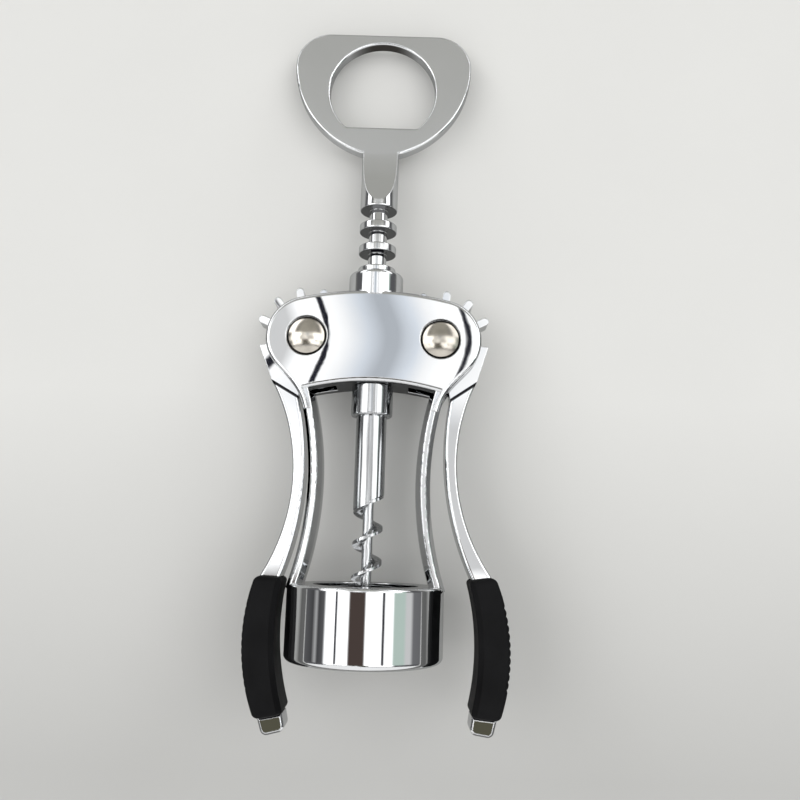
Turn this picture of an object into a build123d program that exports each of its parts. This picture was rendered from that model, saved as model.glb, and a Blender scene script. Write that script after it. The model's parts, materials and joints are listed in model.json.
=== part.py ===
from build123d import *
from math import acos, cos, degrees, pi, radians, sin, sqrt
import os

# A lever corkscrew with a cap lifter for its handle, lying on its back.
# The origin is the middle of the bell's mouth. +Y runs up the screw to the handle,
# +Z points out of the front face and +X to the right-hand lever. Millimetres.

os.makedirs("parts", exist_ok=True)

# Bell that stands on the bottle
bell_diameter = 38.0
bell_wall = 3.1
bell_height = 17.7
bell_top_wall = 3.0
bell_top_lip = 3.0
bell_mouth_round = 1.4
bell_top_round = 0.7

# Crown that carries the two levers, from the pivot line up and down
pivot_rise = 60.6
ear_radius = 10.4
ear_tangent_angle = -42.0
crown_rise = 12.3
crown_drop = 11.3
crown_corner_drop = 2.3
crown_corner_slope = 0.25
crown_middle_depth = 13.6
crown_ear_depth = 11.8
crown_edge_round = 1.0
neck_diameter = 14.0
neck_length = 5.8
neck_round = 1.0

# Legs between crown and bell
leg_width = 3.5
leg_depth = 12.0
leg_ridge_width = 1.4
leg_flank_depth = 5.6
leg_round = 0.45
leg_top_offset = 0.3
leg_waist_spread = 26.6
leg_waist_rise = 25.3
leg_foot_inset = 1.5
leg_blend_share = 0.14
leg_blend_outer = 1.4
leg_blend_inner = 0.4

# Handle with the cap lifter
plate_width = 48.0
plate_height_ratio = 0.7375
plate_corner_radius = 9.5
plate_thickness = 3.4
plate_edge_round = 0.6
plate_shoulder_step = 0.3
lifter_side_wall = 9.65
lifter_top_wall = 2.85
lifter_flat_inset = 3.75
lifter_corner_radius = 1.6

# Stem and ring rack below the handle
stem_diameter = 9.8
stem_length = 16.1
stem_above_neck = 18.0
tongue_lead = 1.6
rack_pitch = 6.1
ring_thickness = 2.1
ring_round = 0.3
rack_core_diameter = 4.8
rack_clearance = 0.08

# Lever gears that mesh with the rings
teeth_per_turn = 13
tooth_count = 7
tooth_width = 2.0
tooth_addendum = 1.18
tooth_dedendum = 2.02
mesh_radius = 4.179
gear_thickness = 5.4
gear_side_clearance = 0.3
gear_tip_clearance = 0.45
left_rest_angle = 0.0
right_rest_angle = 4.8

# Lever arms, from the pivot: outwards and down
arm_depth = 8.6
arm_edge_round = 0.7
arm_shoulder = (12.3, -1.8)
arm_step_outer = (8.6, -10.9)
arm_step_inner = (1.6, -14.9)
arm_leg_gap = 0.85
arm_waist_lift = 1.7
arm_waist_width = 3.0
arm_waist_skew = 1.6
arm_end_share = 0.12

# Rubber grips, placed beside the bell
grip_bell_gap = 1.9
grip_top_lift = 1.4
grip_length = 30.8
grip_middle_drop = 13.8
grip_depth = 13.0
grip_wall = 1.9
grip_bevel = 1.2
grip_corner_radius = 1.6
grip_top_width = 6.4
grip_top_tuck = 1.2
grip_top_skew = 0.3
grip_middle_width = 7.5
grip_middle_skew = -0.8
grip_end_width = 6.7
grip_end_tuck = 3.1
grip_end_skew = -1.3
grip_rib_count = 11
grip_rib_pitch = 1.85
grip_rib_depth = 0.35
grip_rib_radius = 0.65

# Tang inside the grip and bare lever tip below it
tang_lead = 1.5
tip_start_share = 0.07
tip_length = 3.9
tip_outer_taper = 1.8
tip_inner_taper = 0.4
tip_depth = 8.0
tip_corner_radius = 1.5
tip_edge_round = 0.5

# Pivot rivets
rivet_diameter = 6.0
rivet_head_diameter = 9.0
rivet_head_height = 1.9
rivet_rim_height = 0.6
rivet_recess_gap = 0.65
rivet_recess_depth = 0.9
rivet_running_clearance = 0.06
rivet_spigot_diameter = 3.0
rivet_spigot_length = 1.1

# Screw: shank, spigot, auger and the collar on the shank
shank_diameter = 7.6
shank_length = 27.5
shank_slant = 3.8
shank_spigot_diameter = 2.8
shank_spigot_length = 10.0
collar_wall = 1.35
collar_length = 7.7
collar_stop_gap = 0.3
collar_running_clearance = 0.05
collar_round = 0.6
auger_rim_inset = 0.05
auger_core_diameter = 2.6
auger_pitch = 8.15
auger_point_drop = 2.7
auger_point_length = 4.0
auger_rim_thickness = 0.7
auger_root_thickness = 1.9
auger_lead = 0.5

# Heights above the bell's mouth
pivot_height = bell_height + pivot_rise
crown_top = pivot_height + crown_rise
crown_underside = pivot_height - crown_drop
crown_corner_height = crown_underside - crown_corner_drop
neck_top = crown_top + neck_length
leg_waist_height = bell_height + leg_waist_rise
stem_end_height = neck_top + stem_above_neck
tongue_end_height = stem_end_height + tongue_lead
plate_shoulder_height = stem_end_height + stem_length
plate_top = plate_shoulder_height + plate_width * plate_height_ratio
lifter_radius = plate_width / 2 - lifter_side_wall
lifter_centre_height = plate_top - lifter_top_wall - lifter_radius
lifter_flat_height = lifter_centre_height - lifter_radius + lifter_flat_inset
rack_foot = crown_underside
collar_top = crown_underside - collar_stop_gap
collar_foot = collar_top - collar_length
shank_end_high = crown_underside - shank_length
shank_end_low = shank_end_high - shank_slant
auger_point_height = bell_height - auger_point_drop

# Radii and widths that follow
bell_radius = bell_diameter / 2
bell_bore_radius = bell_radius - bell_wall
bell_opening_radius = bell_bore_radius - bell_top_lip
stem_radius = stem_diameter / 2
rack_bore_radius = stem_radius + rack_clearance
core_radius = rack_core_diameter / 2
shank_radius = shank_diameter / 2
plate_half = plate_thickness / 2
stem_shoulder_half_width = stem_radius + plate_shoulder_step

# Gears: the pivots stand where the pitch circles meet the rings
pitch_radius = rack_pitch * teeth_per_turn / (2 * pi)
pivot_x = pitch_radius + mesh_radius
tooth_step = 360 / teeth_per_turn
tooth_tip_radius = pitch_radius + tooth_addendum
gear_root_radius = pitch_radius - tooth_dedendum
tooth_length = tooth_tip_radius - gear_root_radius / 2
slot_depth = gear_thickness + 2 * gear_side_clearance
slot_radius = tooth_tip_radius + gear_tip_clearance
crown_half_width = pivot_x + ear_radius
ridge_slack = crown_rise - ear_radius
ridge_radius = (pivot_x**2 + crown_rise**2 - ear_radius**2) / (2 * ridge_slack)
ridge_angle = degrees(acos(pivot_x / (ridge_radius - ear_radius)))
crown_bulge = (crown_middle_depth - crown_ear_depth) / 2
head_seat = crown_middle_depth / 2 - crown_bulge * (pivot_x / crown_half_width) ** 2 - rivet_recess_depth

# The groove nearest the pivots, and the tooth angle that centres a tooth in it
ring_count = int((stem_end_height - rack_foot) / rack_pitch)
ring_feet = [stem_end_height - rack_pitch * number for number in range(1, ring_count + 1)]
groove_offsets = [foot + (ring_thickness + rack_pitch) / 2 - pivot_height for foot in ring_feet]
groove_above_pivot = min(offset for offset in groove_offsets if offset > 0)
mean_rest_angle = (left_rest_angle + right_rest_angle) / 2
tooth_phase = degrees(groove_above_pivot / pitch_radius) + mean_rest_angle

# Lever points from the pivot: x outwards, y up
arm_waist_x = leg_waist_spread / 2 + leg_width / 2 + arm_leg_gap - pivot_x
arm_waist_y = leg_waist_height + arm_waist_lift - pivot_height
arm_waist_inner = (arm_waist_x, arm_waist_y)
arm_waist_outer = (arm_waist_x + arm_waist_width, arm_waist_y + arm_waist_skew)
grip_x = bell_radius + grip_bell_gap - pivot_x
grip_y = bell_height + grip_top_lift - pivot_height
grip_top_inner = (grip_x - grip_top_tuck, grip_y)
grip_top_outer = (grip_x - grip_top_tuck + grip_top_width, grip_y + grip_top_skew)
grip_middle_inner = (grip_x, grip_y - grip_middle_drop)
grip_middle_outer = (grip_x + grip_middle_width, grip_y - grip_middle_drop + grip_middle_skew)
grip_end_inner = (grip_x - grip_end_tuck, grip_y - grip_length)
grip_end_outer = (grip_x - grip_end_tuck + grip_end_width, grip_y - grip_length + grip_end_skew)
tip_end_inner = (grip_end_inner[0] - tip_inner_taper, grip_end_inner[1] - tip_length)
tip_end_outer = (grip_end_outer[0] - tip_outer_taper, grip_end_outer[1] - tip_length)

left_pivot = Plane(origin=(-pivot_x, pivot_height, 0), x_dir=(-1, 0, 0), z_dir=(0, 0, -1))
right_pivot = Plane(origin=(pivot_x, pivot_height, 0), x_dir=(1, 0, 0), z_dir=(0, 0, 1))
left_lever_plane = left_pivot.rotated((0, 0, left_rest_angle))
right_lever_plane = right_pivot.rotated((0, 0, right_rest_angle))


def at_height(height):
    """Plane across the screw axis, facing the handle."""
    return Plane(origin=(0, height, 0), x_dir=(1, 0, 0), z_dir=(0, 1, 0))


def on_ear(angle):
    """Point at an angle on the right-hand ear."""
    return (pivot_x + ear_radius * cos(radians(angle)), pivot_height + ear_radius * sin(radians(angle)))


def polar(radius, angle):
    """Point at a radius and an angle in degrees."""
    return (radius * cos(radians(angle)), radius * sin(radians(angle)))


def between(first, last, share):
    """Point part of the way from one point to another."""
    return (first[0] + share * (last[0] - first[0]), first[1] + share * (last[1] - first[1]))


# Legs: an hourglass pair with a ridge down the front and back
with BuildPart() as legs:
    with BuildLine():
        leg_path = ThreePointArc(
            (pivot_x + leg_top_offset, crown_underside),
            (leg_waist_spread / 2, leg_waist_height),
            (bell_radius - leg_foot_inset, bell_height - bell_top_wall / 2),
        )
    with BuildSketch(Plane(origin=leg_path @ 0, x_dir=(0, 0, 1), z_dir=leg_path % 0)) as leg_section:
        with BuildLine():
            Polyline(
                (0, leg_width / 2),
                (leg_flank_depth / 2, leg_width / 2),
                (leg_depth / 2, leg_ridge_width / 2),
                (leg_depth / 2, -leg_ridge_width / 2),
                (leg_flank_depth / 2, -leg_width / 2),
                (0, -leg_width / 2),
                close=True,
            )
        make_face()
        mirror(about=Plane.YZ)
        fillet(leg_section.vertices(), leg_round)
    sweep(path=leg_path)
    mirror(about=Plane.YZ)

# Crown: two ears and a bridge, bulging a little to the front and back
ear_low = on_ear(ear_tangent_angle)
ear_fall = (sin(radians(ear_tangent_angle)), -cos(radians(ear_tangent_angle)))
blend_middle = leg_path @ leg_blend_share
blend_fall = leg_path % leg_blend_share
blend_across = blend_fall.rotate(Axis.Z, 90)
blend_foot = blend_middle + blend_across * leg_blend_outer
leg_corner = (pivot_x + leg_top_offset, crown_corner_height)
ridge_middle_angle = radians((90 + ridge_angle) / 2)
ridge_middle = (
    ridge_radius * cos(ridge_middle_angle),
    crown_top - ridge_radius + ridge_radius * sin(ridge_middle_angle),
)
with BuildPart() as crown:
    with BuildSketch() as crown_outline:
        with BuildLine():
            crown_ridge = ThreePointArc((0, crown_top), ridge_middle, on_ear(ridge_angle))
            Line(crown_ridge @ 1, ear_low)
            Spline(ear_low, blend_foot, tangents=(ear_fall, blend_fall))
            Polyline(blend_foot, blend_middle - blend_across * leg_blend_inner, leg_corner)
            Spline(
                leg_corner,
                (0, crown_underside),
                tangents=((-1, crown_corner_slope), (-1, 0)),
            )
            Line((0, crown_underside), (0, crown_top))
        make_face()
        with Locations((pivot_x, pivot_height)):
            Circle(ear_radius)
        mirror(about=Plane.YZ)
    extrude(amount=crown_middle_depth, both=True)
    with BuildSketch(at_height(blend_foot.Y - leg_width)):
        with BuildLine():
            front = ThreePointArc(
                (-crown_half_width, crown_ear_depth / 2),
                (0, crown_middle_depth / 2),
                (crown_half_width, crown_ear_depth / 2),
            )
            back = ThreePointArc(
                (crown_half_width, -crown_ear_depth / 2),
                (0, -crown_middle_depth / 2),
                (-crown_half_width, -crown_ear_depth / 2),
            )
            Line(front @ 1, back @ 0)
            Line(back @ 1, front @ 0)
        make_face()
    extrude(amount=crown_top, mode=Mode.INTERSECT)
    crown_faces = crown.faces().sort_by(Axis.Z)
    crown_edges = crown_faces[0].edges() + crown_faces[-1].edges()
    fillet([edge for edge in crown_edges if (edge @ 0.5).Y > crown_corner_height], crown_edge_round)

# Frame casting: bell, legs, crown and neck in one piece
with BuildPart() as frame:
    add(crown.part)
    add(legs.part)
    with BuildSketch() as bell_section:
        with BuildLine():
            Polyline(
                (bell_bore_radius, 0),
                (bell_radius, 0),
                (bell_radius, bell_height),
                (bell_opening_radius, bell_height),
                (bell_opening_radius, bell_height - bell_top_wall),
                (bell_bore_radius, bell_height - bell_top_wall),
                close=True,
            )
        make_face()
        outer_corners = bell_section.vertices().group_by(Axis.X)[-1].sort_by(Axis.Y)
        fillet(outer_corners[0], bell_mouth_round)
        outer_corners = bell_section.vertices().group_by(Axis.X)[-1].sort_by(Axis.Y)
        fillet(outer_corners[-1], bell_top_round)
    revolve(axis=Axis.Y)
    with BuildSketch() as neck_section:
        with BuildLine():
            Polyline(
                (0, pivot_height),
                (crown_middle_depth / 2, pivot_height),
                (crown_middle_depth / 2, crown_top - crown_edge_round),
                (neck_diameter / 2, crown_top - crown_edge_round),
                (neck_diameter / 2, neck_top),
                (0, neck_top),
                close=True,
            )
        make_face()
        fillet(neck_section.vertices().group_by(Axis.Y)[-1].sort_by(Axis.X)[-1], neck_round)
    revolve(axis=Axis.Y)
    with BuildSketch(at_height(crown_corner_height)):
        Circle(rack_bore_radius)
    extrude(amount=neck_top - crown_corner_height, mode=Mode.SUBTRACT)
    with BuildSketch():
        with Locations((-pivot_x, pivot_height), (pivot_x, pivot_height)):
            Circle(slot_radius)
    extrude(amount=slot_depth / 2, both=True, mode=Mode.SUBTRACT)
    with BuildSketch():
        with Locations((-pivot_x, pivot_height), (pivot_x, pivot_height)):
            Circle(rivet_diameter / 2)
    extrude(amount=crown_middle_depth, both=True, mode=Mode.SUBTRACT)
    for face_side in (1, -1):
        with BuildSketch(Plane.XY.offset(face_side * head_seat)):
            with Locations((-pivot_x, pivot_height), (pivot_x, pivot_height)):
                Circle(rivet_head_diameter / 2 + rivet_recess_gap)
        extrude(amount=face_side * crown_middle_depth, mode=Mode.SUBTRACT)
frame.part.label = "frame"
export_step(frame.part, "parts/frame.step")

# Handle: cap lifter plate, stem and ring rack in one casting
corner_centre_x = plate_width / 2 - plate_corner_radius
corner_centre_y = plate_top - plate_corner_radius
side_rise = corner_centre_y - plate_shoulder_height
side_run = plate_width / 2 - stem_shoulder_half_width
side_radius = (side_run**2 + side_rise**2) / (2 * side_run)
side_middle_angle = side_rise / side_radius / 2
with BuildPart() as opener_head:
    with BuildSketch() as plate_outline:
        with BuildLine():
            Line((0, plate_top), (corner_centre_x, plate_top))
            plate_corner = ThreePointArc(
                (corner_centre_x, plate_top),
                (
                    corner_centre_x + plate_corner_radius * sqrt(0.5),
                    corner_centre_y + plate_corner_radius * sqrt(0.5),
                ),
                (plate_width / 2, corner_centre_y),
            )
            plate_side = ThreePointArc(
                plate_corner @ 1,
                (
                    plate_width / 2 - side_radius * (1 - cos(side_middle_angle)),
                    corner_centre_y - side_radius * sin(side_middle_angle),
                ),
                (stem_shoulder_half_width, plate_shoulder_height),
            )
            Line(plate_side @ 1, (0, plate_shoulder_height))
            Line((0, plate_shoulder_height), (0, plate_top))
        make_face()
        mirror(about=Plane.YZ)
        with BuildSketch(mode=Mode.SUBTRACT) as lifter_hole:
            with Locations((0, lifter_centre_height)):
                Circle(lifter_radius)
            with Locations((0, lifter_flat_height)):
                Rectangle(
                    2 * lifter_radius,
                    lifter_radius,
                    align=(Align.CENTER, Align.MAX),
                    mode=Mode.SUBTRACT,
                )
            fillet(lifter_hole.vertices(), lifter_corner_radius)
    extrude(amount=plate_half, both=True)
    plate_faces = opener_head.faces().sort_by(Axis.Z)
    fillet(plate_faces[0].edges() + plate_faces[-1].edges(), plate_edge_round)
    with BuildSketch() as rack_section:
        with BuildLine():
            rack_points = [(0, rack_foot), (core_radius, rack_foot)]
            for foot in reversed(ring_feet):
                rack_points.append((core_radius, foot))
                rack_points.append((stem_radius, foot))
                rack_points.append((stem_radius, foot + ring_thickness))
                rack_points.append((core_radius, foot + ring_thickness))
            rack_points.append((core_radius, stem_end_height))
            rack_points.append((stem_radius, stem_end_height))
            rack_points.append((stem_radius, plate_shoulder_height + plate_half))
            rack_points.append((0, plate_shoulder_height + plate_half))
            Polyline(*rack_points, close=True)
        make_face()
        fillet(rack_section.vertices().group_by(Axis.X)[-1].sort_by(Axis.Y)[:-1], ring_round)
    revolve(axis=Axis.Y)
    with BuildSketch(Plane.YZ) as tongue_cut:
        with BuildLine():
            tongue_face = TangentArc(
                (plate_shoulder_height, plate_half),
                (tongue_end_height, stem_radius),
                tangent=(-1, 0),
            )
            Line(tongue_face @ 1, (tongue_end_height, 2 * stem_radius))
            Line((tongue_end_height, 2 * stem_radius), (lifter_flat_height, 2 * stem_radius))
            Line((lifter_flat_height, 2 * stem_radius), (lifter_flat_height, plate_half))
            Line((lifter_flat_height, plate_half), tongue_face @ 0)
        make_face()
        mirror(about=Plane.XZ)
    extrude(amount=plate_width, both=True, mode=Mode.SUBTRACT)
    with BuildSketch(at_height(rack_foot)):
        Circle(shank_spigot_diameter / 2)
    extrude(amount=shank_spigot_length, mode=Mode.SUBTRACT)
opener_head.part.label = "opener_head"
export_step(opener_head.part, "parts/opener_head.step")

# Auger: one round core with a tapering flange, twisted downwards to a point
auger_top = shank_end_high + auger_lead
auger_length = auger_top - auger_point_height + auger_lead
auger_radius = shank_radius - auger_rim_inset
auger_core_radius = auger_core_diameter / 2
flange_root_angle = 180 * auger_root_thickness / auger_pitch
flange_rim_angle = 180 * auger_rim_thickness / auger_pitch
auger_turn = 180 + 360 * (shank_end_low - auger_top) / auger_pitch
auger_plane = Plane(origin=(0, auger_top, 0), x_dir=(1, 0, 0), z_dir=(0, -1, 0))
with BuildSketch(auger_plane.rotated((0, 0, auger_turn))) as auger_section:
    with BuildLine():
        core_arc = ThreePointArc(
            polar(auger_core_radius, flange_root_angle),
            (-auger_core_radius, 0),
            polar(auger_core_radius, -flange_root_angle),
        )
        rim_arc = ThreePointArc(
            polar(auger_radius, flange_rim_angle),
            (auger_radius, 0),
            polar(auger_radius, -flange_rim_angle),
        )
        Line(core_arc @ 0, rim_arc @ 0)
        Line(core_arc @ 1, rim_arc @ 1)
    make_face()
with BuildPart() as auger:
    add(
        Solid.extrude_linear_with_rotation(
            auger_section.sketch.faces()[0],
            (0, auger_top, 0),
            (0, -auger_length, 0),
            360 * auger_length / auger_pitch,
        )
    )
    with BuildSketch():
        with BuildLine():
            Polyline(
                (0, auger_point_height),
                (2 * auger_radius, auger_point_height + 2 * auger_point_length),
                (2 * auger_radius, auger_top),
                (0, auger_top),
                close=True,
            )
        make_face()
    revolve(axis=Axis.Y, mode=Mode.INTERSECT)

# Screw: steel shank, cut off on the slant, with a spigot in the rack and the auger below
with BuildPart() as worm:
    with BuildSketch():
        with BuildLine():
            Polyline(
                (0, shank_end_low),
                (shank_radius, shank_end_low),
                (shank_radius, rack_foot),
                (shank_spigot_diameter / 2, rack_foot),
                (shank_spigot_diameter / 2, rack_foot + shank_spigot_length),
                (0, rack_foot + shank_spigot_length),
                close=True,
            )
        make_face()
    revolve(axis=Axis.Y)
    with BuildSketch():
        with BuildLine():
            Polyline(
                (-shank_radius, shank_end_low),
                (shank_radius, shank_end_high),
                (shank_radius, shank_end_low),
                close=True,
            )
        make_face()
    extrude(amount=shank_diameter, both=True, mode=Mode.SUBTRACT)
    add(auger.part)
worm.part.label = "worm"
export_step(worm.part, "parts/worm.step")

# Stop collar on the shank, just under the crown
with BuildPart() as stop_collar:
    with BuildSketch(at_height(collar_foot)):
        Circle(shank_radius + collar_running_clearance + collar_wall)
        Circle(shank_radius + collar_running_clearance, mode=Mode.SUBTRACT)
    extrude(amount=collar_length)
    fillet(stop_collar.edges().group_by(Axis.Y)[0].sort_by(SortBy.LENGTH)[-1], collar_round)
stop_collar.part.label = "stop_collar"
export_step(stop_collar.part, "parts/stop_collar.step")


def grip_strip(wall, lead):
    """Face between the grip's outer and inner curves, drawn in by a wall and let out by a lead."""
    with BuildSketch() as strip:
        with BuildLine():
            outer = ThreePointArc(
                (grip_top_outer[0] - wall, grip_top_outer[1] + lead),
                (grip_middle_outer[0] - wall, grip_middle_outer[1]),
                (grip_end_outer[0] - wall, grip_end_outer[1] - lead),
            )
            inner = ThreePointArc(
                (grip_top_inner[0] + wall, grip_top_inner[1] + lead),
                (grip_middle_inner[0] + wall, grip_middle_inner[1]),
                (grip_end_inner[0] + wall, grip_end_inner[1] - lead),
            )
            Line(outer @ 0, inner @ 0)
            Line(outer @ 1, inner @ 1)
        make_face()
    return strip.sketch


def lever_arm(plane):
    """Curved arm from the crown to the grip, rounded along its edges."""
    with BuildPart() as blank:
        with BuildSketch(plane):
            with BuildLine():
                outer_edge = ThreePointArc(
                    arm_step_outer, arm_waist_outer, between(grip_top_outer, grip_top_inner, arm_end_share)
                )
                inner_edge = ThreePointArc(
                    arm_step_inner, arm_waist_inner, between(grip_top_inner, grip_top_outer, arm_end_share)
                )
                Line(outer_edge @ 0, inner_edge @ 0)
                Line(outer_edge @ 1, inner_edge @ 1)
            make_face()
        extrude(amount=arm_depth / 2, both=True)
        fillet(blank.edges().filter_by(GeomType.CIRCLE), arm_edge_round)
    return blank.part


def lever_tip(plane):
    """Bare metal end below the grip."""
    with BuildPart() as blank:
        with BuildSketch(plane) as tip_outline:
            with BuildLine():
                Polyline(
                    between(grip_end_outer, grip_end_inner, tip_start_share),
                    between(grip_end_inner, grip_end_outer, tip_start_share),
                    tip_end_inner,
                    tip_end_outer,
                    close=True,
                )
            make_face()
            fillet(tip_outline.vertices().sort_by(Axis.Y)[:2], tip_corner_radius)
        extrude(amount=tip_depth / 2, both=True)
        tip_faces = blank.faces().sort_by(Axis.Z)
        chamfer(tip_faces[0].edges() + tip_faces[-1].edges(), tip_edge_round)
    return blank.part


def lever(plane):
    """One lever casting: toothed hub, curved arm, tang for the grip and bare tip."""
    with BuildPart() as casting:
        with BuildSketch(plane):
            Circle(gear_root_radius)
            with PolarLocations(
                tooth_tip_radius - tooth_length / 2,
                tooth_count,
                start_angle=180 - tooth_phase + tooth_step,
                angular_range=-tooth_step * (tooth_count - 1),
                endpoint=True,
            ):
                SlotOverall(tooth_length, tooth_width)
            with BuildLine():
                Polyline((0, 0), arm_shoulder, arm_step_outer, arm_step_inner, close=True)
            make_face()
        extrude(amount=gear_thickness / 2, both=True)
        with BuildSketch(plane):
            add(grip_strip(grip_wall, tang_lead))
        extrude(amount=gear_thickness / 2, both=True)
        add(lever_arm(plane))
        add(lever_tip(plane))
        with BuildSketch(plane):
            Circle(rivet_diameter / 2 + rivet_running_clearance)
        extrude(amount=gear_thickness, both=True, mode=Mode.SUBTRACT)
    return casting


def grip(plane, casting):
    """One rubber sleeve, bevelled along its edges and ribbed on its outer side."""
    with BuildPart() as sleeve:
        with BuildSketch(plane) as sleeve_outline:
            add(grip_strip(0, 0))
            fillet(sleeve_outline.vertices(), grip_corner_radius)
        extrude(amount=grip_depth / 2, both=True)
        sleeve_faces = sleeve.faces().sort_by(Axis.Z)
        fillet(sleeve_faces[0].edges() + sleeve_faces[-1].edges(), grip_bevel)
        with BuildLine(mode=Mode.PRIVATE):
            back_edge = ThreePointArc(grip_top_outer, grip_middle_outer, grip_end_outer)
        first_rib = (back_edge.length - grip_rib_pitch * (grip_rib_count - 1)) / 2
        with BuildSketch(plane):
            for number in range(grip_rib_count):
                share = (first_rib + number * grip_rib_pitch) / back_edge.length
                groove = back_edge @ share
                outwards = (back_edge % share).rotate(Axis.Z, 90)
                stand_off = grip_rib_radius - grip_rib_depth
                with Locations(groove + outwards * stand_off):
                    Circle(grip_rib_radius)
        extrude(amount=grip_depth / 2 - grip_bevel, both=True, mode=Mode.SUBTRACT)
        add(casting.part, mode=Mode.SUBTRACT)
    return sleeve


for side, plane in (("left", left_lever_plane), ("right", right_lever_plane)):
    casting = lever(plane)
    casting.part.label = f"{side}_lever"
    export_step(casting.part, f"parts/{side}_lever.step")
    sleeve = grip(plane, casting)
    sleeve.part.label = f"{side}_grip"
    export_step(sleeve.part, f"parts/{side}_grip.step")


# Rivets: a domed head in front, and a domed cap pressed on a spigot behind
head_radius = rivet_head_diameter / 2
head_rim = head_seat + rivet_rim_height
head_top = head_seat + rivet_head_height
spigot_radius = rivet_spigot_diameter / 2
spigot_end = head_seat + rivet_spigot_length
for side, pivot in (("left", left_pivot.origin), ("right", right_pivot.origin)):
    section_plane = Plane(origin=pivot, x_dir=(1, 0, 0), z_dir=(0, -1, 0))
    with BuildPart() as rivet:
        with BuildSketch(section_plane):
            with BuildLine():
                Polyline(
                    (0, head_top),
                    (0, -spigot_end),
                    (spigot_radius, -spigot_end),
                    (spigot_radius, -head_seat),
                    (rivet_diameter / 2, -head_seat),
                    (rivet_diameter / 2, head_seat),
                    (head_radius, head_seat),
                    (head_radius, head_rim),
                )
                TangentArc((0, head_top), (head_radius, head_rim), tangent=(1, 0))
            make_face()
        revolve(axis=Axis(pivot, (0, 0, 1)))
    rivet.part.label = f"{side}_pivot_rivet"
    export_step(rivet.part, f"parts/{side}_pivot_rivet.step")
    with BuildPart() as cap:
        with BuildSketch(section_plane):
            with BuildLine():
                Polyline(
                    (0, -head_top),
                    (0, -spigot_end),
                    (spigot_radius, -spigot_end),
                    (spigot_radius, -head_seat),
                    (head_radius, -head_seat),
                    (head_radius, -head_rim),
                )
                TangentArc((0, -head_top), (head_radius, -head_rim), tangent=(1, 0))
            make_face()
        revolve(axis=Axis(pivot, (0, 0, 1)))
    cap.part.label = f"{side}_rivet_cap"
    export_step(cap.part, f"parts/{side}_rivet_cap.step")
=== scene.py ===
import json
from math import atan2, ceil, cos, pi, radians, sin, sqrt

import bmesh
import bpy
from bpy.props import FloatProperty, FloatVectorProperty, IntProperty, PointerProperty
from mathutils import Matrix, Vector


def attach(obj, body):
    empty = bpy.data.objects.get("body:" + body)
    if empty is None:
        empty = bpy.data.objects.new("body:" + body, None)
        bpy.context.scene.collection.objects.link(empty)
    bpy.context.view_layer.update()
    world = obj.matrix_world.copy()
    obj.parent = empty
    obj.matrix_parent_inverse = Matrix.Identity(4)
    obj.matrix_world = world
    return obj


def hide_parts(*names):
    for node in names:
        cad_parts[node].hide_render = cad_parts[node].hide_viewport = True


bl_info = {
    "name": "Lever corkscrew",
    "version": (1, 0, 0),
    "blender": (4, 5, 0),
    "location": "View3D > Sidebar > Corkscrew",
    "description": "Dresses the packed lever corkscrew with its finishes, rubber grips and studio",
    "category": "Object",
}

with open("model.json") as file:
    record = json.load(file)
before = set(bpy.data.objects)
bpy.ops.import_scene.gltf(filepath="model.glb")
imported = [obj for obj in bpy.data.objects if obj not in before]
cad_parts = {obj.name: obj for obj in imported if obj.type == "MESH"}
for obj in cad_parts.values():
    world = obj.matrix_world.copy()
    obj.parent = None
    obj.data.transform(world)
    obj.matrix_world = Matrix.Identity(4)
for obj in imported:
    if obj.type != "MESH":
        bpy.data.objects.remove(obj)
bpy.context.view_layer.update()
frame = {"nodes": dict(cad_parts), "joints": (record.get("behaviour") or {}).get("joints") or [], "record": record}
joint_place = {joint["name"]: joint.get("pos_m") for joint in frame["joints"]}
slot_colour = {entry["slot"]: entry["base_color"] for entry in frame["record"]["materials"]}

# Heights along the screw where the painted shade under the crown begins, where the satin plate begins and above
# which the lifter hole's upper wall gets painted shade
crown_underside = (0.06, 0.0605)
plate_start = (0.1146, 0.1152)
lifter_hole_top = (0.155, 0.156)

# Shares of a surface's direction that count as facing the bell, the front or the screw's ends
underside_facing = (-0.93, -0.8)
hole_facing = (-0.97, -0.75)
flat_facing = (0.95, 0.99)
flank_facing = (0.6, 0.9)

# Tones of the dark joints round the rivets and of the painted shade under the crown, along the arms' shoulders, on
# the rack's flanks and in the lifter hole, and how strongly they show
joint_tone = (0.02, 0.018, 0.016)
painted_underside_shade = (0.1, 0.102, 0.108)
shoulder_shadow_tone = (0.02, 0.02, 0.022)
flank_shade_tone = (0.05, 0.05, 0.052)
hole_shade_tone = (0.1, 0.092, 0.085)
flank_share = 0.85
underside_roughness = 0.3
joint_softness = 0.0001
shoulder_edges = (0.25, 1.4)

# Steps that divide the grips' meshes
rib_steps = 10
end_steps = 6
face_steps = 6
round_steps = 5
side_steps = 4

# Shape of the grips' grooves, edges and sockets
groove_sharpness = 1.3
end_softness = 0.4
rib_fade = 0.35
socket_wall = 0.0004
socket_aim = 0.1
crease_angle = 32

# Floor: size, where its tilt turns, where its painted shade darkens it, how far its near part goes and the
# strengths of its painted shade and of its painted darker reflection
floor_size = 3
bell_top = 0.0177
floor_fade = (-0.05, 0.05)
floor_near = (0.12, 0.2)
floor_shade = 0.7
mirrored_shade = 0.14
near_mirrored = 0.45

# Colours of the studio's panels
white = (1, 1, 1)
wall = (0.05, 0.05, 0.052)
seam = (0.008, 0.008, 0.012)
gap = (0.035, 0.026, 0.023)
olive = (0.046, 0.044, 0.031)
mint = (0.24, 0.29, 0.265)
haze = (0.24, 0.255, 0.275)
grey = (0.2, 0.2, 0.2)
pewter = (0.185, 0.184, 0.172)
low_light = (0.45, 0.45, 0.45)
backdrop_colour = (0.74, 0.737, 0.72, 1)

# Degrees that a ring of panels spans, the edge of its middle part and the wave in the crown's panels
full_turn = 360
middle_turn = 40
middle_edge = (19, 19.5)
wave_rate = 42
wave_height = 1.26

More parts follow.
